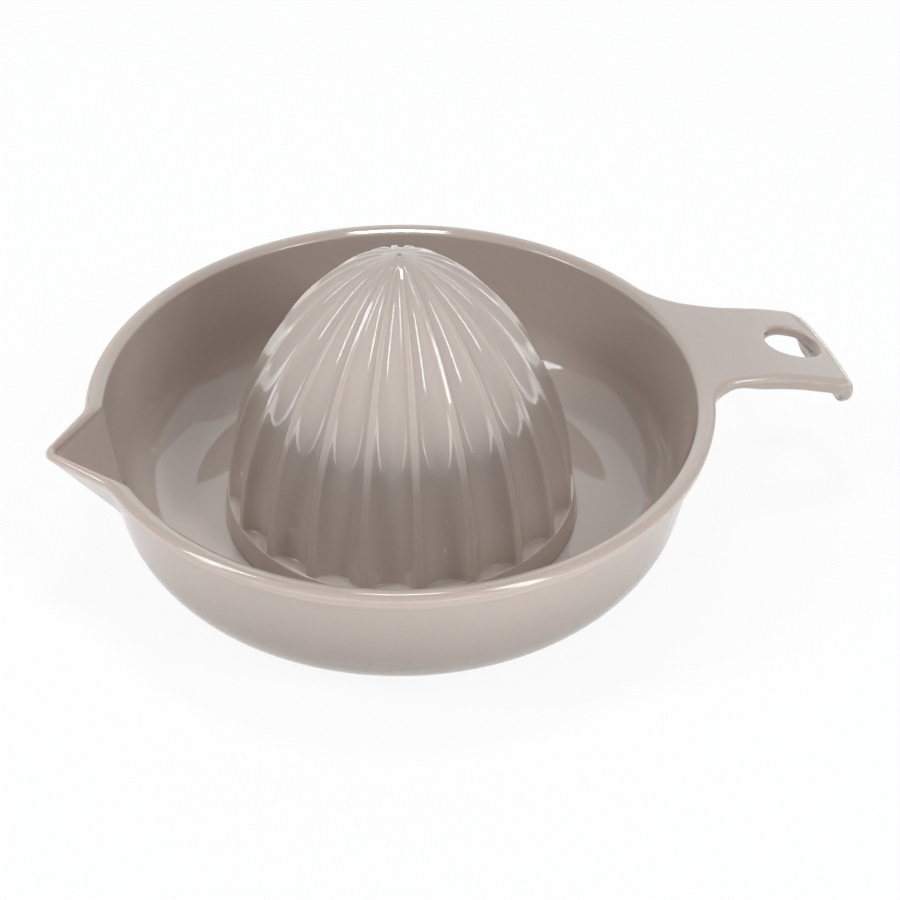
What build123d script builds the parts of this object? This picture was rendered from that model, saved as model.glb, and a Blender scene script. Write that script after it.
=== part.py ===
"""Citrus juicer in moulded plastic: a dish with a pouring spout and a hooked handle, and a
ribbed reamer cone that seats on the dish floor. Millimetres, +Z up, +X towards the handle.
The origin is on the dish axis, on the surface that the juicer stands on."""

from build123d import *
from math import acos, cos, degrees, radians, sin, tan
import os

# Reamer cone. Its collar sets the size of the dish around it
collar_radius = 40.0
collar_height = 6.0
collar_top_inset = 0.8
collar_wall = 5.4
rib_setback = 0.3
cone_height = 62.1
cone_wall = 2.1
crown_radius = 2.5
crown_thickness = 2.8
rib_count = 20
rib_width_at_base = 2.0
rib_crown_share = 0.85
rib_rounding = 0.4
flute_depth = 3.0
egg_radius_share = 1.3
egg_height_share = 1.05
gate_radius = 1.1
gate_depth = 0.4

# Rim and bowl wall
trough_width = 30.0
rim_height = 36.0
rim_crest_inset = 1.7
rim_outer_drop = 1.1
rim_inner_drop = 0.7
rim_rounding = 1.0
rim_inner_rounding = 0.7
bead_height = 3.4
bead_overhang = 2.1
bead_undercut = 0.9
bead_rounding = 0.5
wall_taper_degrees = 13.0
wall_thickness = 2.4

# Base of the bowl
knuckle_height = 4.4
knuckle_rounding = 18.0
floor_height = 5.7
floor_rounding = 15.0
foot_inset = 9.4
foot_width = 3.6
recess_depth = 3.0

# Pouring spout, towards -X. Its length is to where its two sides would meet, before rounding
spout_length = 10.9
spout_half_width_degrees = 12.5
spout_keel_degrees = 50.0
spout_keel_depth = 21.0
spout_keel_rounding = 2.5
spout_edge_thickness = 2.1
spout_lip_rounding = 0.8
channel_half_width_degrees = 13.5
channel_rounding = 1.6

# Handle, towards +X, with its lengths measured from the rim or from its own end
handle_length = 33.7
handle_width = 27.6
handle_thickness = 3.4
handle_flat_length = 13.0
handle_slope_degrees = 17.5
handle_bend_rounding = 16.0
handle_near_root_rounding = 12.0
handle_far_root_rounding = 25.0
handle_root_overlap = 35.0
handle_corner_rounding = 7.0
handle_end_allowance = 1.2
handle_edge_rounding = 1.4
hook_lean = 0.5
hook_lean_share = 0.2
hook_drop = 13.7
hook_bend_rounding = 4.5
hook_corner_rounding = 5.0
hang_hole_setback = 10.95
hang_hole_length = 13.2
hang_hole_width = 12.5
hang_hole_edge_rounding = 0.6
plate_setback = 13.6
plate_length = 17.0
plate_thickness = 2.2
plate_flange = 2.4
plate_rounding = 5.0

# Seat of the reamer: a ring on the dish floor, with keys that stop the cone from turning
seat_clearance = 0.3
seat_ring_width = 2.2
seat_ring_height = 4.0
key_count = 4
key_width = 6.0
key_reach = 1.4

# Every cut runs past the face that it opens
overrun = 1.0

collar_top_radius = collar_radius - collar_top_inset
cone_radius = collar_top_radius - rib_setback
socket_radius = collar_radius - collar_wall
seat_ring_radius = socket_radius - seat_clearance
cone_base = floor_height + collar_height
rib_spacing = 360 / rib_count
rib_width_at_crown = rib_crown_share * radians(rib_spacing) * crown_radius

rim_radius = collar_radius + trough_width
rim_crest_radius = rim_radius - rim_crest_inset
rim_outer_height = rim_height - rim_outer_drop
rim_inner_height = rim_height - rim_inner_drop
bead_bottom = rim_height - bead_height
bead_bottom_radius = rim_radius - bead_undercut
wall_top_radius = rim_radius - bead_overhang
taper = tan(radians(wall_taper_degrees))
wall_inset = wall_thickness / cos(radians(wall_taper_degrees))

handle_reach = rim_radius + handle_length
handle_bend_reach = rim_radius + handle_flat_length
hook_bend_reach = handle_reach - hook_lean
hook_height = rim_height - hook_drop
hang_hole_reach = handle_reach - hang_hole_setback
plate_middle_reach = handle_reach - plate_setback


def outer_wall_radius(height):
    """Radius of the straight part of the bowl's outside, at a height."""
    return wall_top_radius - (bead_bottom - height) * taper


def inner_wall_radius(height):
    """Radius of the straight part of the bowl's inside, at a height."""
    return outer_wall_radius(height) - wall_inset


def in_plan(radius, degrees):
    """A point in plan, at a radius and an angle from +X."""
    return radius * cos(radians(degrees)), radius * sin(radians(degrees))


def egg(turn_degrees, base_radius, height):
    """A point (radius, height) on the cone's egg-shaped side: 0 is the base, 90 the apex."""
    radius = base_radius * cos(radians(turn_degrees)) ** egg_radius_share
    rise = height * sin(radians(turn_degrees)) ** egg_height_share
    return radius, rise


def corner_near(section, radius, height):
    """The corner of an upright section that lies at a radius and a height."""
    return section.vertices().sort_by_distance((radius, height))[0]


def spout_outline(tip_reach, corner_radius, corner_degrees, tip_rounding):
    """The V of the spout at the rim, closed inside the bowl behind its two corners."""
    corner_x, corner_y = in_plan(corner_radius, corner_degrees)
    back_x = corner_x - corner_y
    with BuildSketch(Plane.XY.offset(rim_height)) as outline:
        with BuildLine():
            Polyline(
                (-tip_reach, 0), (-corner_x, corner_y), (-back_x, corner_y),
                (-back_x, -corner_y), (-corner_x, -corner_y), close=True,
            )
        make_face()
        fillet(outline.vertices().sort_by(Axis.X)[0], tip_rounding)
    return outline.sketch


# The V of the spout leans down and inwards along its keel, so that it runs out on the wall
spout_reach = rim_radius + spout_length
rim_inner_radius = inner_wall_radius(rim_inner_height)
keel_run = 1 / tan(radians(spout_keel_degrees))
keel_way = (keel_run, 0, -1)
keel_length = spout_keel_depth / sin(radians(spout_keel_degrees))
spout_shape = spout_outline(
    spout_reach, rim_radius, spout_half_width_degrees, spout_keel_rounding
)
channel_shape = spout_outline(
    spout_reach - spout_edge_thickness, rim_inner_radius, channel_half_width_degrees,
    channel_rounding,
)
channel_top_shift = (-overrun * keel_run, 0, overrun)

# Spout before its channel is cut, with its outer edge softened at the rim
with BuildPart() as spout:
    extrude(spout_shape, amount=keel_length, dir=keel_way)
    lip = spout.faces().sort_by(Axis.Z)[-1]
    lip_sides = lip.edges().filter_by(lambda edge: (edge @ 0.5).X < -rim_radius)
    fillet(lip_sides, spout_lip_rounding)

# Handle: the bent strip seen from the side, kept only inside its outline in plan
slope_drop = (hook_bend_reach - handle_bend_reach) * tan(radians(handle_slope_degrees))
slope_way = Vector(0, 0, -1).rotate(Axis.Y, handle_slope_degrees)
plate_fall = (plate_middle_reach - handle_bend_reach) * tan(radians(handle_slope_degrees))
plate_top = Vector(plate_middle_reach, 0, rim_height - plate_fall)
plate_underside = Plane(plate_top + slope_way * plate_thickness, z_dir=slope_way)
with BuildPart() as handle:
    with BuildSketch(Plane.XZ):
        with BuildLine():
            top_line = FilletPolyline(
                (rim_radius - handle_root_overlap, rim_height),
                (handle_bend_reach, rim_height),
                (hook_bend_reach, rim_height - slope_drop),
                (handle_reach, hook_height),
                radius=(handle_bend_rounding, hook_bend_rounding),
            )
            offset(top_line, amount=handle_thickness, side=Side.RIGHT)
        make_face()
    extrude(amount=rim_radius / 2, both=True)
    with BuildSketch(Plane.XY) as handle_plan:
        Circle(rim_crest_radius)
        with Locations(((handle_reach + handle_end_allowance) / 2, 0)):
            Rectangle(handle_reach + handle_end_allowance, handle_width)
        roots = handle_plan.vertices().sort_by_distance((rim_crest_radius, 0))[:2]
        fillet(roots.sort_by(Axis.Y)[0], handle_near_root_rounding)
        fillet(roots.sort_by(Axis.Y)[-1], handle_far_root_rounding)
        fillet(handle_plan.vertices().group_by(Axis.X)[-1], handle_corner_rounding)
    extrude(amount=rim_height + overrun, mode=Mode.INTERSECT)
    tops = handle.faces().filter_by(lambda face: face.normal_at().Z > hook_lean_share)
    fillet(tops.edges().filter_by(Axis.Y, reverse=True), handle_edge_rounding)
    hook_bottom = handle.vertices().sort_by(Axis.Z)[0].Z
    with BuildSketch(Plane.YZ.offset(hang_hole_reach)):
        with Locations((0, hook_bottom)):
            Rectangle(handle_width + overrun, 2 * hook_corner_rounding)
        with Locations((0, hook_bottom + handle_width / 2)):
            RectangleRounded(
                handle_width, handle_width, hook_corner_rounding, mode=Mode.SUBTRACT
            )
    extrude(amount=handle_reach - hang_hole_reach + overrun, mode=Mode.SUBTRACT)
    # Hollow under the handle, which leaves a thinner plate between its sides
    with BuildSketch(plate_underside):
        RectangleRounded(plate_length, handle_width - 2 * plate_flange, plate_rounding)
    extrude(amount=handle_thickness, mode=Mode.SUBTRACT)
    with BuildSketch(Plane.XY):
        with Locations((hang_hole_reach, 0)):
            Ellipse(hang_hole_length / 2, hang_hole_width / 2)
    extrude(amount=rim_height + overrun, mode=Mode.SUBTRACT)
    fillet(handle.edges(Select.LAST).sort_by(Axis.Z)[-1], hang_hole_edge_rounding)

# Juice dish: bowl, rim, spout and handle in one moulding
foot_radius = outer_wall_radius(0) - foot_inset
with BuildPart() as juice_dish:
    with BuildSketch(Plane.XZ) as bowl_section:
        with BuildLine():
            Polyline(
                (rim_crest_radius, rim_height),
                (0, rim_height),
                (0, 0),
                (foot_radius, 0),
                (outer_wall_radius(knuckle_height), knuckle_height),
                (wall_top_radius, bead_bottom),
                (bead_bottom_radius, bead_bottom),
                (rim_radius, rim_outer_height),
            )
            TangentArc((rim_crest_radius, rim_height), (rim_radius, rim_outer_height),
                       tangent=(1, 0))
        make_face()
        knuckle = corner_near(bowl_section, outer_wall_radius(knuckle_height), knuckle_height)
        fillet(knuckle, knuckle_rounding)
        fillet(corner_near(bowl_section, rim_radius, rim_outer_height), rim_rounding)
        fillet(corner_near(bowl_section, bead_bottom_radius, bead_bottom), bead_rounding)
        fillet(corner_near(bowl_section, wall_top_radius, bead_bottom), bead_rounding)
    revolve(axis=Axis.Z)
    add(spout.part)
    add(handle.part)
    with BuildSketch(Plane.XZ) as cavity_section:
        with BuildLine():
            Polyline(
                (rim_crest_radius, rim_height),
                (rim_crest_radius, rim_height + overrun),
                (0, rim_height + overrun),
                (0, floor_height),
                (inner_wall_radius(floor_height), floor_height),
                (rim_inner_radius, rim_inner_height),
            )
            TangentArc((rim_crest_radius, rim_height), (rim_inner_radius, rim_inner_height),
                       tangent=(-1, 0))
        make_face()
        floor_corner = corner_near(cavity_section, inner_wall_radius(floor_height), floor_height)
        fillet(floor_corner, floor_rounding)
        fillet(corner_near(cavity_section, rim_inner_radius, rim_inner_height),
               rim_inner_rounding)
    revolve(axis=Axis.Z, mode=Mode.SUBTRACT)
    extrude(channel_shape.moved(Location(channel_top_shift)),
            amount=keel_length + overrun, dir=keel_way, mode=Mode.SUBTRACT)
    with BuildSketch(Plane.XY):
        Circle(foot_radius - foot_width)
    extrude(amount=recess_depth, mode=Mode.SUBTRACT)
    with BuildSketch(Plane.XY.offset(floor_height)):
        Circle(seat_ring_radius)
        with PolarLocations(seat_ring_radius, key_count):
            Rectangle(2 * key_reach, key_width)
        Circle(seat_ring_radius - seat_ring_width, mode=Mode.SUBTRACT)
    extrude(amount=seat_ring_height)
juice_dish.part.label = "juice_dish"

# Reamer cone: lofted through sections of ribs and flutes, up its egg-shaped side
crown_turn = degrees(acos((crown_radius / cone_radius) ** (1 / egg_radius_share)))
section_turns = (0, 24, 46, 66, crown_turn)
hollow_turns = (0, 15, 30, 45, 60, 75, 90)


def rib_and_flute_points(crest_radius, rib_degrees):
    """One rib's four corners, then the middle and the end of the flute that follows it."""
    growth = (crest_radius - crown_radius) / (cone_radius - crown_radius)
    depth = flute_depth * growth
    rib_width = rib_width_at_crown + (rib_width_at_base - rib_width_at_crown) * growth
    half_rib_degrees = degrees(rib_width / 2 / crest_radius)
    edge_radius = crest_radius - rib_rounding * growth
    return (
        in_plan(edge_radius, rib_degrees - half_rib_degrees),
        in_plan(crest_radius, rib_degrees - half_rib_degrees / 2),
        in_plan(crest_radius, rib_degrees + half_rib_degrees / 2),
        in_plan(edge_radius, rib_degrees + half_rib_degrees),
        in_plan(crest_radius - depth, rib_degrees + rib_spacing / 2),
        in_plan(edge_radius, rib_degrees + rib_spacing - half_rib_degrees),
    )


with BuildPart() as reamer_cone:
    for turn in section_turns:
        crest_radius, rise = egg(turn, cone_radius, cone_height)
        with BuildSketch(Plane.XY.offset(cone_base + rise)):
            with BuildLine():
                for rib in range(rib_count):
                    points = rib_and_flute_points(crest_radius, (rib + 1 / 2) * rib_spacing)
                    Polyline(*points[:4])
                    ThreePointArc(*points[3:])
            make_face()
    loft()
    # Crown, flat where the plastic was fed into the mould
    with BuildSketch(Plane.XZ):
        with BuildLine():
            Polyline(
                (0, cone_base + rise),
                (crest_radius, cone_base + rise),
                (gate_radius, cone_base + cone_height),
                (gate_radius / 2, cone_base + cone_height),
                (gate_radius / 2, cone_base + cone_height - gate_depth),
                (0, cone_base + cone_height - gate_depth),
                close=True,
            )
        make_face()
    revolve(axis=Axis.Z)
    # Collar under the ribs
    with BuildSketch(Plane.XZ):
        with BuildLine():
            Polyline(
                (0, floor_height), (collar_radius, floor_height),
                (collar_top_radius, cone_base), (0, cone_base), close=True,
            )
        make_face()
    revolve(axis=Axis.Z)
    # Hollow inside, an even wall under the flutes, open downwards
    hollow_radius = cone_radius - flute_depth - cone_wall
    hollow_height = cone_height - crown_thickness
    hollow_side = [egg(turn, hollow_radius, hollow_height) for turn in hollow_turns]
    with BuildSketch(Plane.XZ):
        with BuildLine():
            side = Spline(*[(radius, cone_base + rise) for radius, rise in hollow_side])
            Polyline(
                side @ 1, (0, floor_height - overrun), (socket_radius, floor_height - overrun),
                (socket_radius, cone_base), side @ 0,
            )
        make_face()
    revolve(axis=Axis.Z, mode=Mode.SUBTRACT)
    with BuildSketch(Plane.XY.offset(floor_height)):
        with PolarLocations(socket_radius, key_count):
            Rectangle(2 * key_reach, key_width + 2 * seat_clearance)
    extrude(amount=seat_ring_height + seat_clearance, mode=Mode.SUBTRACT)
reamer_cone.part.label = "reamer_cone"

os.makedirs("parts", exist_ok=True)
export_step(juice_dish.part, "parts/juice_dish.step")
export_step(reamer_cone.part, "parts/reamer_cone.step")
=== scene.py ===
"""A citrus juicer in glossy, slightly translucent taupe plastic, seen from above on white.

The dish and the reamer cone are meshes worked out from profiles, in the CAD model's frame. Lengths
are written in millimetres, as in the CAD model, and become metres when a mesh is made. The floor,
the lamps and the reach of the light inside the plastic are given in metres."""

from math import acos, atan, atan2, cos, exp, pi, radians, sin, sqrt, tan

import bmesh
import bpy
from mathutils import Matrix, Vector


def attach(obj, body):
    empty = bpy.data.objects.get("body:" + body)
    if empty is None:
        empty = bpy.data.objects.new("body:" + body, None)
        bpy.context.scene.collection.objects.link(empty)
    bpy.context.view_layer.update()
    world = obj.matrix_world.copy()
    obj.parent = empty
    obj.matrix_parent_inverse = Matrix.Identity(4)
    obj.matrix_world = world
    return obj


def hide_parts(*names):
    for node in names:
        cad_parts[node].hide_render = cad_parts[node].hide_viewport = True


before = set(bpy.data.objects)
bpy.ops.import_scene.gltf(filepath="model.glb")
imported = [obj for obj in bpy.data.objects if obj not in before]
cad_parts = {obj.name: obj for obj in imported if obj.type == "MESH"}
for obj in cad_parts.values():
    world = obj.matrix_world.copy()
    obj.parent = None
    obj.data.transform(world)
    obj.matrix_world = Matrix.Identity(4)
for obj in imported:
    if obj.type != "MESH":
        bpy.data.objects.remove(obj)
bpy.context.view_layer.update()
MM = 0.001

# Rounding errors that places may have, and the gap below which points are merged
tolerance = 0.001
merge_gap = 0.01

# Rim, wall and floor of the dish, close to the sizes that the solids have
rim_radius = 70.0
rim_height = 36.0
crest_radius = 68.3
inner_edge_radius = 66.1
inner_edge_height = 35.3
inner_edge_rounding = 0.9
outer_edge_height = 34.9
bead_side_radius = 69.8
bead_bottom = 32.6
bead_bottom_radius = 69.5
bead_drop = 4
bead_roundings = (0.35, 0.6, 0.5)
wall_top_radius = 67.9
wall_degrees = 13
wall_slope = tan(radians(wall_degrees))
floor_height = 5.7
floor_rounding = 15.0
knuckle_rounding = 19.3
knuckle_centre_radius = 44.8
knuckle_centre_height = 18.3
knuckle_end_degrees = 71

# Foot ring under the dish, and the recess inside it
foot_radius = 50.9
foot_inner_radius = 47.4
foot_rounding = 0.3
recess_height = 3

# Seat ring on the floor with its four keys, and the cone's clearance round them
seat_inner_radius = 32.1
seat_radius = 34.3
seat_top = 9.7
seat_rounding = 0.3
key_half_width = 3
key_reach = 1.4
seat_clearance = 0.3

# Radii of the plain rows on the floor, round the seat ring, and in the recess
floor_rows = (0, 16, 30)
ring_start, ring_end = 31, 35.6
outer_floor_rows = (38, 41, 44)
recess_rows = (44, 30, 15, 0)

# Spout: where its sides meet at the rim, how steep they are in plan, and how round its tip is
spout_tip = 81.5
spout_slope = 1.206
spout_rounding = 3.2
channel_tip = 78.7
channel_slope = 1.075
channel_rounding = 2.0
keel_run = 1 / tan(radians(50))
spout_blend = 1.6
channel_blend = 1.2
spout_half_angle = radians(24)
spout_bottom = 12
keel_fade_height = 17

# The tip leans to the far side by a small angle, which fades out along the V's sides
tip_shift = radians(0.7)
tip_shift_end = radians(13)

# Reamer cone, its egg-shaped side, and its ribs and flutes
cone_base = 11.7
cone_radius = 38.9
cone_height = 62.1
egg_radius_share = 1.3
egg_height_share = 1.05
crown_radius = 2.5
rib_count = 20
rib_half_at_crown = 0.333
rib_half_at_base = 1.0
rib_rounding = 0.9
flute_depth = 3.0
flute_growth_share = 0.72
flute_start = 4.0
flute_start_run = 1.6
least_flute = 0.004
rib_columns, flute_columns = 8, 16

# Hollow of the cone, and its socket, which fits over the seat ring
hollow_radius = 33.8
hollow_height = 59.3
socket_radius = seat_radius + seat_clearance
socket_rounding = 0.3
socket_edge = 0.1
notch_top = seat_top + seat_clearance
notch_step = 0.05
hollow_row_degrees = 3

# Collar under the ribs, and the ledge that its top makes at the foot of each flute
collar_radius = 40
collar_top_radius = 39.2
collar_foot_rounding = 0.4
collar_roundings = (0.3, 0.35)
foot_row_radius = 37
ledge_inner_radius = 38.0
ledge_radius = 38.8
rib_foot_radius = 38.95
flute_foot_limit = 38.2
ledge_rounding = 0.4
ledge_shares = (0.75, 0.5, 0.25)
ledge_steps = ((0.4, 0.0), (0.22, 0.05), (0.08, 0.2), (0.0, 0.45))
first_level_rise = 0.6

# Rows up the cone, in degrees along its egg-shaped side
level_step, level_count = 0.9, 89
top_levels = (81.5, 82.5, 83.5, 84.5, 85.5, 86.0)

# Mark on the tip where the plastic was fed in: points (radius, drop) from its edge to its middle
gate_profile = ((1.12, 0.06), (1.05, 0), (0.8, 0), (0.56, 0), (0.5, 0.05),
                (0.46, 0.3), (0.4, 0.4), (0.2, 0.42), (0, 0.42))


def smooth_max(a, b, blend):
    """The larger of two values, rounded off over a length where they are close."""
    share = max(blend - abs(a - b), 0) / blend
    return max(a, b) + share ** 3 * blend / 6


def smooth_min(a, b, blend):
    """The smaller of two values, rounded off over a length where they are close."""
    return -smooth_max(-a, -b, blend)


def mix(a, b, share):
    """A value between a and b."""
    return a + (b - a) * share


def held(value):
    """A value kept between 0 and 1."""
    return min(max(value, 0), 1)


def eased(value):
    """A share from 0 to 1, with a soft start and a soft end."""
    return value * value * (3 - 2 * value)


def grid_faces(row_count, width, left_out=()):
    """Four-sided faces between rows of points that run right round, but for those left out."""
    faces = []
    for i in range(row_count - 1):
        for c in range(width):
            after = (c + 1) % width
            if (i, c) not in left_out:
                faces.append((i * width + c, i * width + after,
                              (i + 1) * width + after, (i + 1) * width + c))
    return faces


def arc(centre_r, centre_z, radius, start, end, count):
    """Points (radius, height) along an arc, from one angle to another in degrees."""
    turns = [radians(mix(start, end, k / count)) for k in range(count + 1)]
    return [(centre_r + radius * cos(t), centre_z + radius * sin(t)) for t in turns]


def rounded(points, rounding, count=4):
    """A run of points with its inner corners rounded. rounding holds one radius per corner."""
    run = [points[0]]
    for before, corner, after, radius in zip(points, points[1:], points[2:], rounding):
        if not radius:
            run.append(corner)
            continue
        back = (Vector(before) - Vector(corner)).normalized()
        ahead = (Vector(after) - Vector(corner)).normalized()
        half = back.angle(ahead) / 2
        centre = Vector(corner) + (back + ahead).normalized() * radius / sin(half)
        first = Vector(corner) + back * radius / tan(half) - centre
        last = Vector(corner) + ahead * radius / tan(half) - centre
        for k in range(count + 1):
            way = first.lerp(last, k / count).normalized() * radius
            run.append(tuple(centre + way))
    run.append(points[-1])
    return run


def make_piece(name, points, faces, node, body):
    """A smooth mesh piece in metres that stands for a CAD node and rides on its body."""
    mesh = bpy.data.meshes.new(name)
    mesh.from_pydata([tuple(c * MM for c in p) for p in points], [], faces)
    shape = bmesh.new()
    shape.from_mesh(mesh)
    bmesh.ops.remove_doubles(shape, verts=shape.verts, dist=merge_gap * MM)
    bmesh.ops.recalc_face_normals(shape, faces=shape.faces)
    shape.to_mesh(mesh)
    shape.free()
    mesh.shade_smooth()
    piece = bpy.data.objects.new(name, mesh)
    bpy.context.collection.objects.link(piece)
    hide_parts(node)
    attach(piece, body)
    return piece


# Camera, as fitted to the photograph. Its focal length and its aim are in the photograph's pixels
view_distance = 752.99
view_elevation = radians(36.444)
view_azimuth = radians(14.5)
view_focus = 3389.93
aim_x, aim_y = 400.89, 395.67
image_middle = 450
view_roll = radians(0.49)


def add_camera():
    """The camera at the photograph's place, aimed so that the rim's centre is at its pixel."""
    turn = Matrix.Rotation(-view_azimuth, 3, "Z")
    place = Vector((0, -cos(view_elevation), sin(view_elevation))) * view_distance
    ahead = -place.normalized()
    right = Vector((1, 0, 0))
    up = right.cross(ahead)
    yaw = atan((aim_x - image_middle) / view_focus)
    pitch = atan((image_middle - aim_y) / view_focus * cos(yaw))
    for axis, angle in ((1, yaw), (0, -pitch), (2, view_roll)):
        spin = Matrix.Rotation(angle, 3, (right, up, ahead)[axis])
        right, up, ahead = spin @ right, spin @ up, spin @ ahead
    basis = Matrix((turn @ right, turn @ up, turn @ -ahead)).transposed()
    data = bpy.data.cameras.new("camera")
    data.sensor_width = 36
    data.lens = view_focus * data.sensor_width / (2 * image_middle)
    data.clip_start = 0.05
    camera = bpy.data.objects.new("camera", data)
    bpy.context.collection.objects.link(camera)
    place = turn @ place + Vector((0, 0, rim_height))
    camera.matrix_world = Matrix.Translation(place * MM) @ basis.to_4x4()
    bpy.context.scene.camera = camera


# Dish: a grid of columns round the axis and rows along the section

def wedge(turn, tip, slope, rounding):
    """Distance from the axis to the side of the spout's V, at an angle from the spout."""
    turn += tip_shift * max(1 - abs(turn) / tip_shift_end, 0)
    half = atan(slope)
    centre = tip - rounding / sin(half)
    side_y = rounding * cos(half)
    side_x = centre + rounding * sin(half)
    if abs(turn) < atan2(side_y, side_x):
        return centre * cos(turn) + sqrt(rounding ** 2 - (centre * sin(turn)) ** 2)
    return tip * slope / (abs(sin(turn)) + slope * cos(turn))


def spout_reach(turn, height, tip, slope, rounding):
    """The V's distance from the axis at a height: it leans inwards along the keel."""
    sunk = (rim_height - height) * keel_run
    fade = max(keel_fade_height - height, 0)
    return wedge(turn, tip - sunk - fade, slope, rounding)


def outer_reach(turn, radius, height):
    """Outside of the dish with the spout, at an angle from the spout."""
    if abs(turn) > spout_half_angle or height < spout_bottom:
        return radius
    reach = spout_reach(turn, height, spout_tip, spout_slope, spout_rounding)
    return smooth_max(radius, reach, spout_blend)


def inner_reach(turn, radius, height):
    """Inside of the dish with the channel, at an angle from the spout."""
    if abs(turn) > spout_half_angle or height < spout_bottom:
        return radius
    reach = spout_reach(turn, height, channel_tip, channel_slope, channel_rounding)
    return smooth_max(radius, reach, channel_blend)


def seat_reach(turn, radius):
    """Radius of the seat's side, wider where it has its four keys or notches."""
    nearest = (turn + pi / 4) % (pi / 2) - pi / 4
    return radius + key_reach if abs(nearest) * radius < key_half_width else radius


def floor_corner_radius():
    """Radius of the centre of the rounding between the floor and the inner wall."""
    height = floor_height + floor_rounding
    wall = inner_edge_radius - (inner_edge_height - height) * wall_slope
    return wall - floor_rounding / cos(atan(wall_slope))


def dish_section():
    """Rows (radius, height, side) of the dish's section: from the middle of the floor, out and
    up the inner wall, over the rim, down the outside and in to the middle of the underside."""
    inner_count, crest_count, slope_count, outer_count = 20, 5, 6, 22
    rows = [(r, floor_height, "plain") for r in floor_rows]
    ring = rounded(
        [(ring_start, floor_height), (seat_inner_radius, floor_height),
         (seat_inner_radius, seat_top), (seat_radius, seat_top),
         (seat_radius, floor_height), (ring_end, floor_height)],
        (seat_rounding,) * 4, 2)
    for r, z in ring:
        rows.append((r, z, "seat" if abs(r - seat_radius) < seat_rounding * 2 else "plain"))
    rows += [(r, floor_height, "plain") for r in outer_floor_rows]
    corner = arc(floor_corner_radius(), floor_height + floor_rounding, floor_rounding,
                 -90, -wall_degrees, 22)
    rows += [(r, z, "inner") for r, z in corner]

    # Inner wall and its edge
    low = corner[-1]
    edge = rounded([low, (inner_edge_radius, inner_edge_height), (crest_radius, rim_height)],
                   (inner_edge_rounding,), 6)
    for k in range(1, inner_count):
        z = mix(low[1], edge[1][1], k / inner_count)
        rows.append((inner_edge_radius - (inner_edge_height - z) * wall_slope, z, "inner"))
    rows += [(r, z, "rim") for r, z in edge[1:-1]]

    # Over the rim and round the bead under it
    last_r, last_z = edge[-2]
    for k in range(1, crest_count + 1):
        sag = (rim_height - last_z) * (1 - k / crest_count) ** 2
        rows.append((mix(last_r, crest_radius, k / crest_count), rim_height - sag, "rim"))
    drop = rim_height - outer_edge_height
    slope = [(mix(crest_radius, rim_radius, k / slope_count),
              rim_height - drop * (k / slope_count) ** 2) for k in range(1, slope_count)]
    rows += [(r, z, "rim") for r, z in slope]
    below = bead_bottom - bead_drop
    bead = rounded(
        [slope[-1], (rim_radius, outer_edge_height), (bead_bottom_radius, bead_bottom),
         (wall_top_radius, bead_bottom), (wall_top_radius - bead_drop * wall_slope, below)],
        bead_roundings, 5)
    rows += [(r, z, "rim" if r > bead_side_radius else "outer") for r, z in bead[1:-1]]

    # Down the outside to the foot ring and the recess
    knuckle = arc(knuckle_centre_radius, knuckle_centre_height, knuckle_rounding,
                  -wall_degrees, -knuckle_end_degrees, 24)
    top = rows[-1][1]
    for k in range(1, outer_count):
        z = mix(top, knuckle[0][1], k / outer_count)
        rows.append((wall_top_radius - (bead_bottom - z) * wall_slope, z, "outer"))
    rows += [(r, z, "outer") for r, z in knuckle]
    foot = rounded(
        [knuckle[-1], (foot_radius, 0), (foot_inner_radius, 0),
         (foot_inner_radius, recess_height), (recess_rows[0], recess_height)],
        (foot_rounding,) * 3, 3)
    rows += [(r, z, "plain") for r, z in foot[1:]]
    rows += [(r, recess_height, "plain") for r in recess_rows[1:]]
    return rows


def dish_radius(turn, radius, height, side):
    """Radius of one point of the dish, at an angle from the spout."""
    if side == "inner":
        return inner_reach(turn, radius, height)
    if side == "outer":
        return outer_reach(turn, radius, height)
    if side == "rim":
        inside = inner_reach(turn, inner_edge_radius, inner_edge_height)
        outside = outer_reach(turn, rim_radius, outer_edge_height)
        return mix(inside, outside, (radius - inner_edge_radius) / (rim_radius - inner_edge_radius))
    if side == "seat":
        return seat_reach(turn, radius)
    return radius


# Handle. It is laid out flat, as length from the axis and place across, and then bent down
# through runs of a length and a bending radius each, where radius 0 stands for straight
handle_half_width = 14.4
handle_thickness = 3.4
handle_end = 110.82
handle_slope = tan(radians(17.5))
bends = ((74.5, 0), (18.326, 60.0), (8.1, 0), (5.397, 4.5), (9.0, 0))
edge_rounding = 1.5
end_rounding = 0.9

# Its roots in the rim, and the length where they have turned into its sides
near_root_degrees = 16.5
far_root_degrees = 24
seam_length = 81.5
root_steps = 18
rim_blend_steps = 10

# Depth of its sides, as shares of its thickness: less at the root, more in the bend to the hook
side_share = 1.15
dip_share, dip_place, dip_run = 0.37, 74.5, 4.5
bend_share, bend_place, bend_run = 0.15, 103.9, 4.2
lip_share, lip_place, lip_run = 0.15, 103, 4

# Its end: where its sides draw in, its two corners, and how far the whole end is drawn in
near_taper_place, far_taper_place = 102, 100.5
near_corner_across, far_corner_across = 12.6, 10.9
far_side_place = 86
taper_rounding, corner_rounding = 14, 4.5
end_shift_place, end_shift_run = 96, 7
end_shift_middle, end_shift_lean, end_shift_curve = 0.47, 0.0683, 0.00389
side_steps = 110

# Hanging hole
hole_place, hole_across = 93.1, 0.55
hole_half_length, hole_half_width = 6.95, 6.0
hole_squareness = 2.1
hole_rounding = 0.6
hole_low_swell = 0.1
hole_wall_depths = (1.1, 1.6, 2.1)

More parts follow.
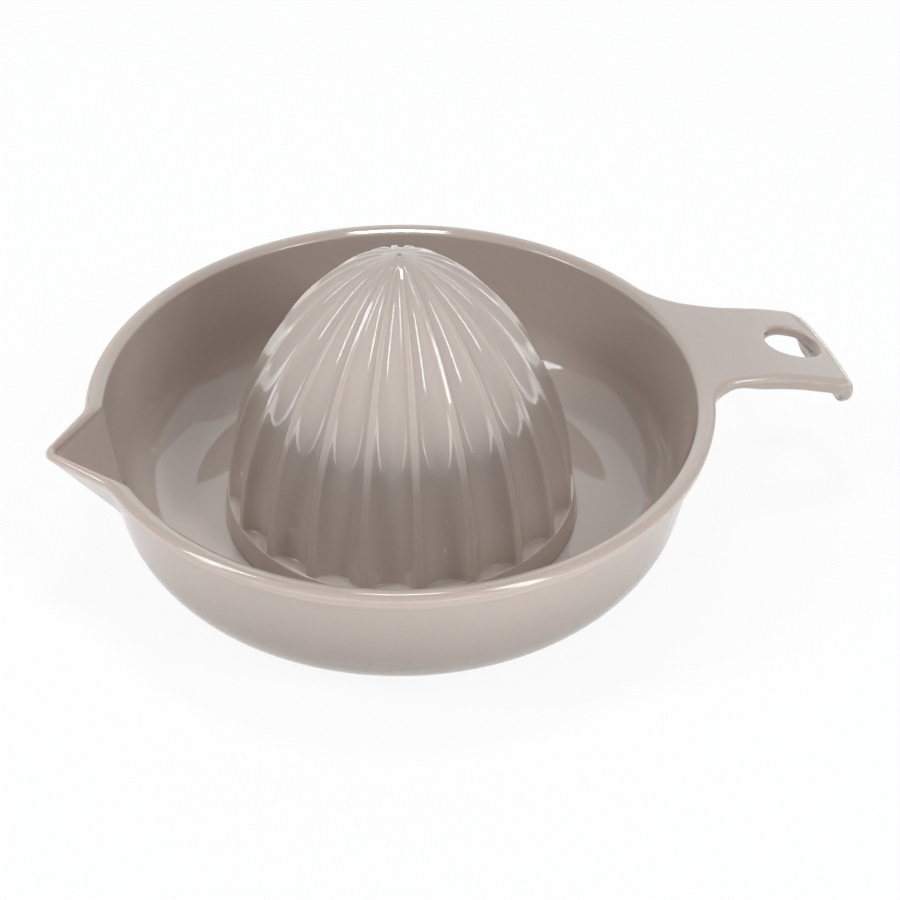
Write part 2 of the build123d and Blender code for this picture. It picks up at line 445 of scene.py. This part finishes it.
# Hollow under the handle, which leaves a thinner plate between its sides. Its edge is given as
# points (inset, depth) from the sides' underside up to the plate
plate_thickness = 2.0
hollow_start, hollow_end = 82.8, 99.5
hollow_half_width = 11.4
hollow_rounding = 5.0
hollow_swell = 0.25
hollow_edge = ((-0.05, 3.3), (0, 3.1), (0, 2.65), (0.1, 2.35), (0.35, plate_thickness))
hollow_to_hole = 0.5
nearest_reach, farthest_reach = 4.0, 20.0
halvings = 24


def depth_share(length):
    """Depth of the handle's sides at a length, as a share of its usual thickness."""
    dip = dip_share * exp(-((length - dip_place) / dip_run) ** 2)
    bend = bend_share * max(1 - ((length - bend_place) / bend_run) ** 2, 0)
    lip = lip_share * held((length - lip_place) / lip_run)
    return side_share - dip + bend - lip


def end_shift(length, across):
    """How far the handle's end is drawn in, which is more on its far side."""
    full_shift = end_shift_middle + end_shift_lean * across + end_shift_curve * across ** 2
    return eased(held((length - end_shift_place) / end_shift_run)) * full_shift


def bent(length, across, depth):
    """A point of the handle after bending, given by its place laid out flat and its depth."""
    x, z, lean = -end_shift(length, across), rim_height, 0.0
    left = length
    for run, radius in bends:
        step = min(left, run)
        if radius:
            after = lean + step / radius
            x += radius * (sin(after) - sin(lean))
            z -= radius * (cos(lean) - cos(after))
            lean = after
        else:
            x += step * cos(lean)
            z -= step * sin(lean)
        left -= step
        if left <= 0:
            break
    return x - depth * sin(lean), across, z - depth * cos(lean)


def edge_profile():
    """The handle's side from its top to its underside, as points (inset, depth)."""
    top = [(edge_rounding * (1 - sin(radians(a))), edge_rounding * (1 - cos(radians(a))))
           for a in range(0, 91, 10)]
    low = handle_thickness - end_rounding
    bottom = [(end_rounding * (1 - cos(radians(a))), low + end_rounding * sin(radians(a)))
              for a in range(0, 91, 15)]
    return top + bottom


def along(run, share):
    """The point at a share of a run's whole length."""
    steps = [sqrt(sum((a - b) ** 2 for a, b in zip(p, q))) for p, q in zip(run, run[1:])]
    left = share * sum(steps)
    for step, p, q in zip(steps, run, run[1:]):
        if left <= step and step:
            return tuple(mix(a, b, left / step) for a, b in zip(p, q))
        left -= step
    return run[-1]


def root_side(root_degrees, side):
    """Outline of the handle's root on one side (-1 near, 1 far): points and outward ways."""
    start = radians(root_degrees)
    fillet = (rim_radius * sin(start) - handle_half_width) / (1 - sin(start))
    centre_y = handle_half_width + fillet
    centre_x = sqrt((rim_radius + fillet) ** 2 - centre_y ** 2)
    first = atan2(-centre_y, -centre_x)
    last = -acos(min((seam_length - centre_x) / fillet, 0))
    arc_length = fillet * (last - first)
    total = arc_length + max(seam_length - centre_x, 0)
    found = []
    for k in range(root_steps + 1):
        done = total * k / root_steps
        if done < arc_length + tolerance:
            angle = first + done / fillet
            way = Vector((-cos(angle), -sin(angle)))
            point = Vector((centre_x, centre_y)) - fillet * way
        else:
            way = Vector((0, 1))
            point = Vector((centre_x + done - arc_length, handle_half_width))
        found.append((Vector((point.x, side * point.y)), Vector((way.x, side * way.y))))
    return found


def hole_point(angle, swell):
    """A point of the hanging hole's outline, seen from its centre, with an offset outwards."""
    a, b = hole_half_length + swell, hole_half_width + swell
    n = hole_squareness
    reach = (abs(cos(angle) / a) ** n + abs(sin(angle) / b) ** n) ** (-1 / n)
    return hole_place + reach * cos(angle), hole_across + reach * sin(angle)


def hollow_point(angle, inset):
    """A point of the hollow's outline, seen from the hole's centre. It is found by halving the
    way between two distances, and is pushed out where it comes too near to the hole."""
    middle = (hollow_start + hollow_end) / 2
    half_length = (hollow_end - hollow_start) / 2 - inset - hollow_rounding
    half_width = hollow_half_width - inset - hollow_rounding
    nearest, farthest = nearest_reach, farthest_reach
    for _ in range(halvings):
        reach = (nearest + farthest) / 2
        x = abs(hole_place + reach * cos(angle) - middle) - half_length
        y = abs(hole_across + reach * sin(angle)) - half_width
        outside = Vector((max(x, 0), max(y, 0))).length + min(max(x, y), 0) - hollow_rounding
        nearest, farthest = (nearest, reach) if outside > 0 else (reach, farthest)
    edge_x, edge_y = hole_point(angle, hollow_to_hole - inset)
    edge_x += plate_thickness * handle_slope
    around = Vector((edge_x - hole_place, edge_y - hole_across)).length
    reach = max(reach, around)
    return hole_place + reach * cos(angle), hole_across + reach * sin(angle)


def add_handle(points, faces, top_row, bottom_row, near_column, far_column, rim_profile):
    """Adds the handle to the dish's mesh, from the opening left for it in the rim's outside."""
    def add(length, across, depth):
        """Adds a point of the handle and gives its number."""
        points.append(bent(length, across, depth * depth_share(length)))
        return len(points) - 1

    def skin(first, second):
        """Adds the faces between two runs of points."""
        for a, b, c, d in zip(first, first[1:], second[1:], second):
            faces.append((a, b, c, d))

    # Roots: four runs of points (top, underside, near side and far side) move outwards together,
    # and turn from the rim's section into the handle's
    last = len(near_column) - 1
    steps = [along(edge_profile(), k / last) for k in range(last + 1)]
    near = root_side(near_root_degrees, -1)
    far = root_side(far_root_degrees, 1)
    across = len(top_row) - 1
    sag = crest_radius * (1 - cos(radians(max(near_root_degrees, far_root_degrees))))
    for i in range(1, root_steps + 1):
        change = eased(min(1, i / rim_blend_steps))
        columns = []
        for point, way in (near[i], far[i]):
            column = []
            for step, rim_step in zip(steps, rim_profile):
                inset = mix(rim_step[0], step[0], change)
                place = point - way * inset
                depth = mix(rim_step[1] / depth_share(place.x), step[1], change)
                column.append((place.x, place.y, depth))
            columns.append(column)
        new_near = [add(*p) for p in columns[0]]
        new_far = [add(*p) for p in columns[1]]
        rows = []
        for end in (0, -1):
            a, b = columns[0][end], columns[1][end]
            row = [new_near[end]]
            for m in range(1, across):
                u = m / across
                bulge = sag * (1 - i / root_steps) * (1 - (2 * u - 1) ** 2)
                row.append(add(mix(a[0], b[0], u) + bulge, mix(a[1], b[1], u), mix(a[2], b[2], u)))
            rows.append(row + [new_far[end]])
        skin(top_row, rows[0])
        skin(bottom_row, rows[1])
        skin(near_column, new_near)
        skin(far_column, new_far)
        top_row, bottom_row, near_column, far_column = rows[0], rows[1], new_near, new_far

    # Sides: one strip that runs round the handle from its near root to its far one
    outline = rounded(
        [(seam_length, -handle_half_width), (near_taper_place, -handle_half_width),
         (handle_end, -near_corner_across), (handle_end, far_corner_across),
         (far_taper_place, handle_half_width), (far_side_place, handle_half_width),
         tuple(far[-1][0])],
        (taper_rounding, corner_rounding, corner_rounding, taper_rounding, taper_rounding), 8)
    border = [Vector(along(outline, k / side_steps)) for k in range(side_steps + 1)]
    outward = [near[-1][1]]
    for k in range(1, side_steps):
        way = (border[k + 1] - border[k - 1]).normalized()
        outward.append(Vector((way.y, -way.x)))
    outward.append(far[-1][1])
    strips = [near_column]
    for k in range(1, side_steps):
        strips.append([add(*(border[k] - outward[k] * inset), depth) for inset, depth in steps])
        skin(strips[-2], strips[-1])
    strips.append(far_column)
    skin(strips[-2], strips[-1])

    def start_ring(end, seam):
        """The first ring on the handle's top or underside, laid out flat, with its angles."""
        inset = steps[end][0]
        flat = [tuple(p - way * inset) for p, way in zip(border, outward)]
        first, final = flat[0], flat[-1]
        flat += [(mix(final[0], first[0], m / across), mix(final[1], first[1], m / across))
                 for m in range(1, across)]
        angles = [atan2(y - hole_across, x - hole_place) for x, y in flat]
        return [strip[end] for strip in strips] + seam[-2:0:-1], flat, angles

    def rings_between(ring, flat, inner, depth, rings):
        """Rings at one depth, from a laid-out ring in to another."""
        for k in range(1, rings + 1):
            fresh = [add(mix(x, to_x, k / rings), mix(y, to_y, k / rings), depth)
                     for (x, y), (to_x, to_y) in zip(flat, inner)]
            skin(ring + ring[:1], fresh + fresh[:1])
            ring = fresh
        return ring

    # Top, from its edge in to the hole
    ring, flat, angles = start_ring(0, top_row)
    edge = [hole_point(angle, hole_rounding) for angle in angles]
    ring = rings_between(ring, flat, edge, 0, 12)

    # Underside, from its edge in to the hollow, up to the plate and on to the hole
    under, flat, under_angles = start_ring(-1, bottom_row)
    wide = [hollow_point(angle, -hollow_swell) for angle in under_angles]
    under = rings_between(under, flat, wide, handle_thickness, 4)
    for inset, depth in hollow_edge:
        flat = [hollow_point(angle, inset) for angle in under_angles]
        under = rings_between(under, flat, flat, depth, 1)
    shift = plate_thickness * handle_slope
    low_edge = [hole_point(angle, hole_low_swell) for angle in under_angles]
    low_edge = [(x + shift, y) for x, y in low_edge]
    under = rings_between(under, flat, low_edge, plate_thickness, 5)

    # Wall of the hole, which joins the two
    wall = [(hole_rounding * (1 - sin(radians(a))), hole_rounding * (1 - cos(radians(a))))
            for a in range(18, 91, 18)]
    wall += [(0, depth) for depth in hole_wall_depths]
    for swell, depth in wall:
        fresh = []
        for angle, low_angle in zip(angles, under_angles):
            x, y = hole_point(mix(angle, low_angle, depth / plate_thickness), swell)
            fresh.append(add(x + depth * handle_slope, y, depth))
        skin(ring + ring[:1], fresh + fresh[:1])
        ring = fresh
    skin(ring + ring[:1], under + under[:1])


# Columns of the dish: where each run of them starts, in degrees from the spout, their step and
# their number. They are closer together at the spout's tip and sides
column_runs = ((0, 0.2, 8), (1.6, 0.4, 42), (19.5, 1.5, 108))


def make_dish():
    """The dish with its spout, and its handle grown out of the rim."""
    half = [start + step * k for start, step, count in column_runs for k in range(count)]
    degrees_round = [-a for a in half[-2:0:-1]] + half
    turns = [radians(a) for a in degrees_round]
    rows = dish_section()
    points = []
    for radius, height, side in rows:
        for turn in turns:
            reach = dish_radius(turn, radius, height, side)
            points.append((-reach * cos(turn), -reach * sin(turn), height))
    width = len(turns)
    crest = next(i for i, row in enumerate(rows) if row[1] > rim_height - tolerance)
    bead_end = next(i for i in range(crest, len(rows)) if rows[i][1] < bead_bottom + tolerance)
    near = [c for c, a in enumerate(degrees_round) if a > 180 - near_root_degrees - tolerance]
    far = [c for c, a in enumerate(degrees_round) if a < far_root_degrees - 180 + tolerance]
    opened = near + far
    left_out = {(i, c) for i in range(crest, bead_end) for c in opened[:-1]}
    faces = grid_faces(len(rows), width, left_out)
    edge_rows = range(crest, bead_end + 1)
    add_handle(
        points, faces,
        [crest * width + c for c in opened], [bead_end * width + c for c in opened],
        [i * width + opened[0] for i in edge_rows],
        [i * width + opened[-1] for i in edge_rows],
        [(rim_radius - rows[i][0], rim_height - rows[i][1]) for i in edge_rows])
    return make_piece("dish_shell", points, faces, "juice_dish", "dish")


# Cone: a grid of columns that follow the edges of its ribs, and rows from its foot to its top

def egg(turn, radius, height):
    """A point (radius, height) on the cone's egg-shaped side: 0 is its foot, 90 its top."""
    return (radius * cos(radians(turn)) ** egg_radius_share,
            cone_base + height * sin(radians(turn)) ** egg_height_share)


def cone_columns(crest):
    """Angles, and radii of the ribs and flutes there, right round the cone at a crest radius."""
    growth = held((crest - crown_radius) / (cone_radius - crown_radius))
    start = held((crest - flute_start) / flute_start_run)
    depth = flute_depth * growth ** flute_growth_share * sqrt(1 - (1 - start) ** 2)
    rib_half = mix(rib_half_at_crown, rib_half_at_base, growth) / max(crest, crown_radius)
    spacing = 2 * pi / rib_count
    flute_half = spacing / 2 - rib_half
    rise = crest * cos(flute_half) - (crest - depth)
    across = crest * sin(flute_half)
    curve = (across ** 2 + rise ** 2) / (2 * rise) if rise > least_flute else None
    ring = []
    for rib in range(rib_count):
        middle = (rib + 0.5) * spacing
        offsets = [-rib_half * cos(pi * k / rib_columns) for k in range(rib_columns)]
        offsets += [spacing / 2 - flute_half * cos(pi * k / flute_columns)
                    for k in range(flute_columns)]
        for offset in offsets:
            away = abs((offset + spacing / 2) % spacing - spacing / 2)
            from_flute = spacing / 2 - away
            radius = crest
            if curve:
                centre = crest - depth + curve
                inside = curve ** 2 - (centre * sin(from_flute)) ** 2
                if inside > 0:
                    flute = centre * cos(from_flute) - sqrt(inside)
                    radius = smooth_min(crest, flute, rib_rounding * min(1, depth))
            ring.append((middle + offset, radius))
    return ring


def ledge_reach(radius, share):
    """Radius of a row on the collar's top, between the foot of the ribs and flutes and its edge."""
    if radius < flute_foot_limit:
        return mix(radius + ledge_rounding, ledge_radius, share)
    return mix(radius, rib_foot_radius, share)


def socket_section():
    """Points (radius, height, notched) from the collar's foot up the socket to the hollow."""
    return [
        (collar_radius - collar_foot_rounding, floor_height, False),
        (foot_row_radius, floor_height, False),
        (socket_radius + socket_rounding, floor_height, True),
        (socket_radius, floor_height + socket_rounding, True),
        (socket_radius, seat_top, True),
        (socket_radius, notch_top, True),
        (socket_radius, notch_top + notch_step, False),
        (socket_radius, cone_base - socket_edge, False),
        (socket_radius - socket_edge, cone_base, False),
        (hollow_radius, cone_base, False),
    ]


def make_cone():
    """The reamer cone, with its ribs, its collar and the hollow that fits over the seat."""
    base = cone_columns(cone_radius)

    # From the top of the hollow down to the foot of the collar
    hollow = [egg(turn, hollow_radius, hollow_height)
              for turn in range(hollow_row_degrees, 90, hollow_row_degrees)]
    hollow.append((0, cone_base + hollow_height))
    rows = [[(turn, r, z) for turn, _ in base] for r, z in reversed(hollow)]
    for r, z, notched in reversed(socket_section()):
        rows.append([(turn, seat_reach(turn, r) if notched else r, z) for turn, _ in base])

    # Up the collar and in over the ledges to the foot of the ribs
    collar = rounded(
        [(collar_radius - collar_foot_rounding, floor_height), (collar_radius, floor_height),
         (collar_top_radius, cone_base), (ledge_inner_radius, cone_base)], collar_roundings, 4)
    rows += [[(turn, r, z) for turn, _ in base] for r, z in collar[1:-1]]
    for share in ledge_shares:
        rows.append([(turn, ledge_reach(radius, share), cone_base) for turn, radius in base])
    for out, up in ledge_steps:
        rows.append([(turn, min(radius + out, rib_foot_radius), cone_base + up)
                     for turn, radius in base])

    # Up the ribs and flutes to the mark on the tip
    levels = [level_step * k for k in range(1, level_count + 1)] + list(top_levels)
    for level in levels:
        crest, z = egg(level, cone_radius, cone_height)
        if z > cone_base + first_level_rise:
            rows.append([(turn, radius, z) for turn, radius in cone_columns(crest)])
    for r, drop in gate_profile:
        z = cone_base + cone_height - drop
        rows.append([(turn, r, z) for turn, _ in cone_columns(crown_radius / 2)])

    points = [(r * cos(turn), r * sin(turn), z) for row in rows for turn, r, z in row]
    faces = grid_faces(len(rows), len(base))
    return make_piece("cone_shell", points, faces, "reamer_cone", "reamer")


# Materials: the plastic's colour, its slightly darker clouds, how far red, green and blue light go
# in it beside each other, and its roughness where it is smoothest and dullest
tone = (0.5, 0.412, 0.367)
deeper_tone = (0.48, 0.392, 0.347)
glow_shares = (1.0, 0.6, 0.4)
smoothest, dullest = 0.05, 0.08


def node_of(nodes, kind, **values):
    """A new shader node with its properties and unlinked inputs set."""
    node = nodes.new(kind)
    for name, value in values.items():
        if name.startswith("in_"):
            node.inputs[name[3:].replace("_", " ")].default_value = value
        else:
            setattr(node, name, value)
    return node


def plastic(name, seed, clear, reach):
    """Glossy moulded plastic with a faint mould-skin unevenness. seed moves its pattern, clear is
    the share of light that it lets in, and reach how far that light goes, in metres."""
    material = bpy.data.materials.new(name)
    material.use_nodes = True
    nodes, links = material.node_tree.nodes, material.node_tree.links
    shader = nodes["Principled BSDF"]
    place = nodes.new("ShaderNodeTexCoord")
    shifted = node_of(nodes, "ShaderNodeMapping", in_Location=(seed, 0, 0))
    links.new(place.outputs["Object"], shifted.inputs["Vector"])
    cloud = node_of(nodes, "ShaderNodeTexNoise", in_Scale=14, in_Detail=2)
    skin = node_of(nodes, "ShaderNodeTexNoise", in_Scale=1100, in_Detail=2)
    waves = node_of(nodes, "ShaderNodeTexNoise", in_Scale=40, in_Detail=0)
    for texture in (cloud, skin, waves):
        links.new(shifted.outputs["Vector"], texture.inputs["Vector"])
    ramp = nodes.new("ShaderNodeValToRGB")
    ramp.color_ramp.elements[0].position = 0.2
    ramp.color_ramp.elements[0].color = (*deeper_tone, 1)
    ramp.color_ramp.elements[1].position = 0.8
    ramp.color_ramp.elements[1].color = (*tone, 1)
    links.new(cloud.outputs["Fac"], ramp.inputs["Fac"])
    links.new(ramp.outputs["Color"], shader.inputs["Base Color"])
    gloss = node_of(nodes, "ShaderNodeMapRange", in_To_Min=smoothest, in_To_Max=dullest)
    links.new(cloud.outputs["Fac"], gloss.inputs["Value"])
    links.new(gloss.outputs["Result"], shader.inputs["Roughness"])
    fine = node_of(nodes, "ShaderNodeBump", in_Strength=0.03, in_Distance=0.0001)
    broad = node_of(nodes, "ShaderNodeBump", in_Strength=0.05, in_Distance=0.0005)
    links.new(skin.outputs["Fac"], fine.inputs["Height"])
    links.new(waves.outputs["Fac"], broad.inputs["Height"])
    links.new(fine.outputs["Normal"], broad.inputs["Normal"])
    links.new(broad.outputs["Normal"], shader.inputs["Normal"])
    shader.inputs["IOR"].default_value = 1.5
    shader.inputs["Subsurface Weight"].default_value = clear
    shader.inputs["Subsurface Radius"].default_value = glow_shares
    shader.inputs["Subsurface Scale"].default_value = reach
    return material


# Floor, surroundings and lamps
floor_half_side = 3
floor_drop = 0.0001
floor_tone = 0.9
floor_white_share = 0.92
pale_strength = 0.1
lamp_color = (0.9, 0.97, 1.0)
lamp_aim_height = 0.03
panel_height = 0.002


def seen_white(nodes, links):
    """1 where the camera or a mirror-like surface looks on, 0 where light only bounces."""
    light = nodes.new("ShaderNodeLightPath")
    either = node_of(nodes, "ShaderNodeMath", operation="MAXIMUM")
    links.new(light.outputs["Is Camera Ray"], either.inputs[0])
    links.new(light.outputs["Is Glossy Ray"], either.inputs[1])
    return either.outputs["Value"]


def add_floor():
    """A white floor that shows white to the camera and keeps a soft shadow under the object."""
    mesh = bpy.data.meshes.new("floor")
    corners = [(x * floor_half_side, y * floor_half_side, 0)
               for x, y in ((-1, -1), (1, -1), (1, 1), (-1, 1))]
    mesh.from_pydata(corners, [], [(0, 1, 2, 3)])
    floor = bpy.data.objects.new("floor", mesh)
    floor.location.z = -floor_drop
    bpy.context.collection.objects.link(floor)
    material = bpy.data.materials.new("floor_white")
    material.use_nodes = True
    nodes, links = material.node_tree.nodes, material.node_tree.links
    nodes.clear()
    matt = node_of(nodes, "ShaderNodeBsdfDiffuse", in_Color=(floor_tone,) * 3 + (1,))
    bright = node_of(nodes, "ShaderNodeEmission", in_Color=(1, 1, 1, 1), in_Strength=1.0)
    share = node_of(nodes, "ShaderNodeMath", operation="MULTIPLY")
    share.inputs[1].default_value = floor_white_share
    mixed = nodes.new("ShaderNodeMixShader")
    out = nodes.new("ShaderNodeOutputMaterial")
    links.new(seen_white(nodes, links), share.inputs[0])
    links.new(share.outputs["Value"], mixed.inputs["Fac"])
    links.new(matt.outputs["BSDF"], mixed.inputs[1])
    links.new(bright.outputs["Emission"], mixed.inputs[2])
    links.new(mixed.outputs["Shader"], out.inputs["Surface"])
    mesh.materials.append(material)


def add_surroundings():
    """Even pale surroundings, white where the camera or a reflection shows them."""
    world = bpy.data.worlds.new("surroundings")
    world.use_nodes = True
    bpy.context.scene.world = world
    nodes, links = world.node_tree.nodes, world.node_tree.links
    nodes.clear()
    pale = node_of(nodes, "ShaderNodeBackground", in_Color=(1, 1, 1, 1),
                   in_Strength=pale_strength)
    white = node_of(nodes, "ShaderNodeBackground", in_Color=(1, 1, 1, 1), in_Strength=1.0)
    mixed = nodes.new("ShaderNodeMixShader")
    out = nodes.new("ShaderNodeOutputWorld")
    links.new(seen_white(nodes, links), mixed.inputs["Fac"])
    links.new(pale.outputs["Background"], mixed.inputs[1])
    links.new(white.outputs["Background"], mixed.inputs[2])
    links.new(mixed.outputs["Shader"], out.inputs["Surface"])


def area_light(name, size, power):
    """A rectangular light, with its size in metres and its power in watts."""
    data = bpy.data.lights.new(name, "AREA")
    data.shape = "RECTANGLE"
    data.size, data.size_y = size
    data.energy = power
    data.color = lamp_color
    light = bpy.data.objects.new(name, data)
    bpy.context.collection.objects.link(light)
    return light


def add_lamp(name, turn, lift, distance, size, power):
    """A soft lamp that looks at the object. turn is in degrees round it, from the camera's side
    towards +X, and lift in degrees above the floor."""
    around = radians(turn) - pi / 2 - view_azimuth
    way = Vector((cos(around) * cos(radians(lift)), sin(around) * cos(radians(lift)),
                  sin(radians(lift))))
    lamp = area_light(name, size, power)
    lamp.location = way * distance + Vector((0, 0, lamp_aim_height))
    lamp.rotation_euler = way.to_track_quat("Z", "Y").to_euler()


def add_panel(name, x, y, size, power):
    """A pale panel that lies on the floor outside the picture and lights the dish from below."""
    panel = area_light(name, size, power)
    panel.location = (x, y, panel_height)
    panel.rotation_euler = (pi, 0, 0)


add_camera()
add_surroundings()
add_floor()
add_lamp("top_lamp", 180, 82, 0.9, (0.18, 0.18), 2.4)
add_lamp("left_lamp", -72, 42, 1.0, (0.2, 0.6), 3.9)
add_lamp("right_lamp", 45, 42, 1.0, (0.18, 0.6), 3.9)
add_lamp("back_lamp", 172, 32, 1.2, (1.8, 1.0), 4.8)
add_panel("front_panel", -0.05, -0.4, (0.9, 0.5), 5.8)
add_panel("left_panel", -0.42, 0.1, (0.5, 0.7), 3.0)
add_panel("right_panel", 0.45, 0.1, (0.5, 0.7), 2.3)
dish = make_dish()
cone = make_cone()
dish.data.materials.append(plastic("taupe_dish", 0.0, 0.7, 0.003))
cone.data.materials.append(plastic("taupe_cone", 3.0, 0.2, 0.002))
bpy.context.scene.view_settings.view_transform = "Standard"
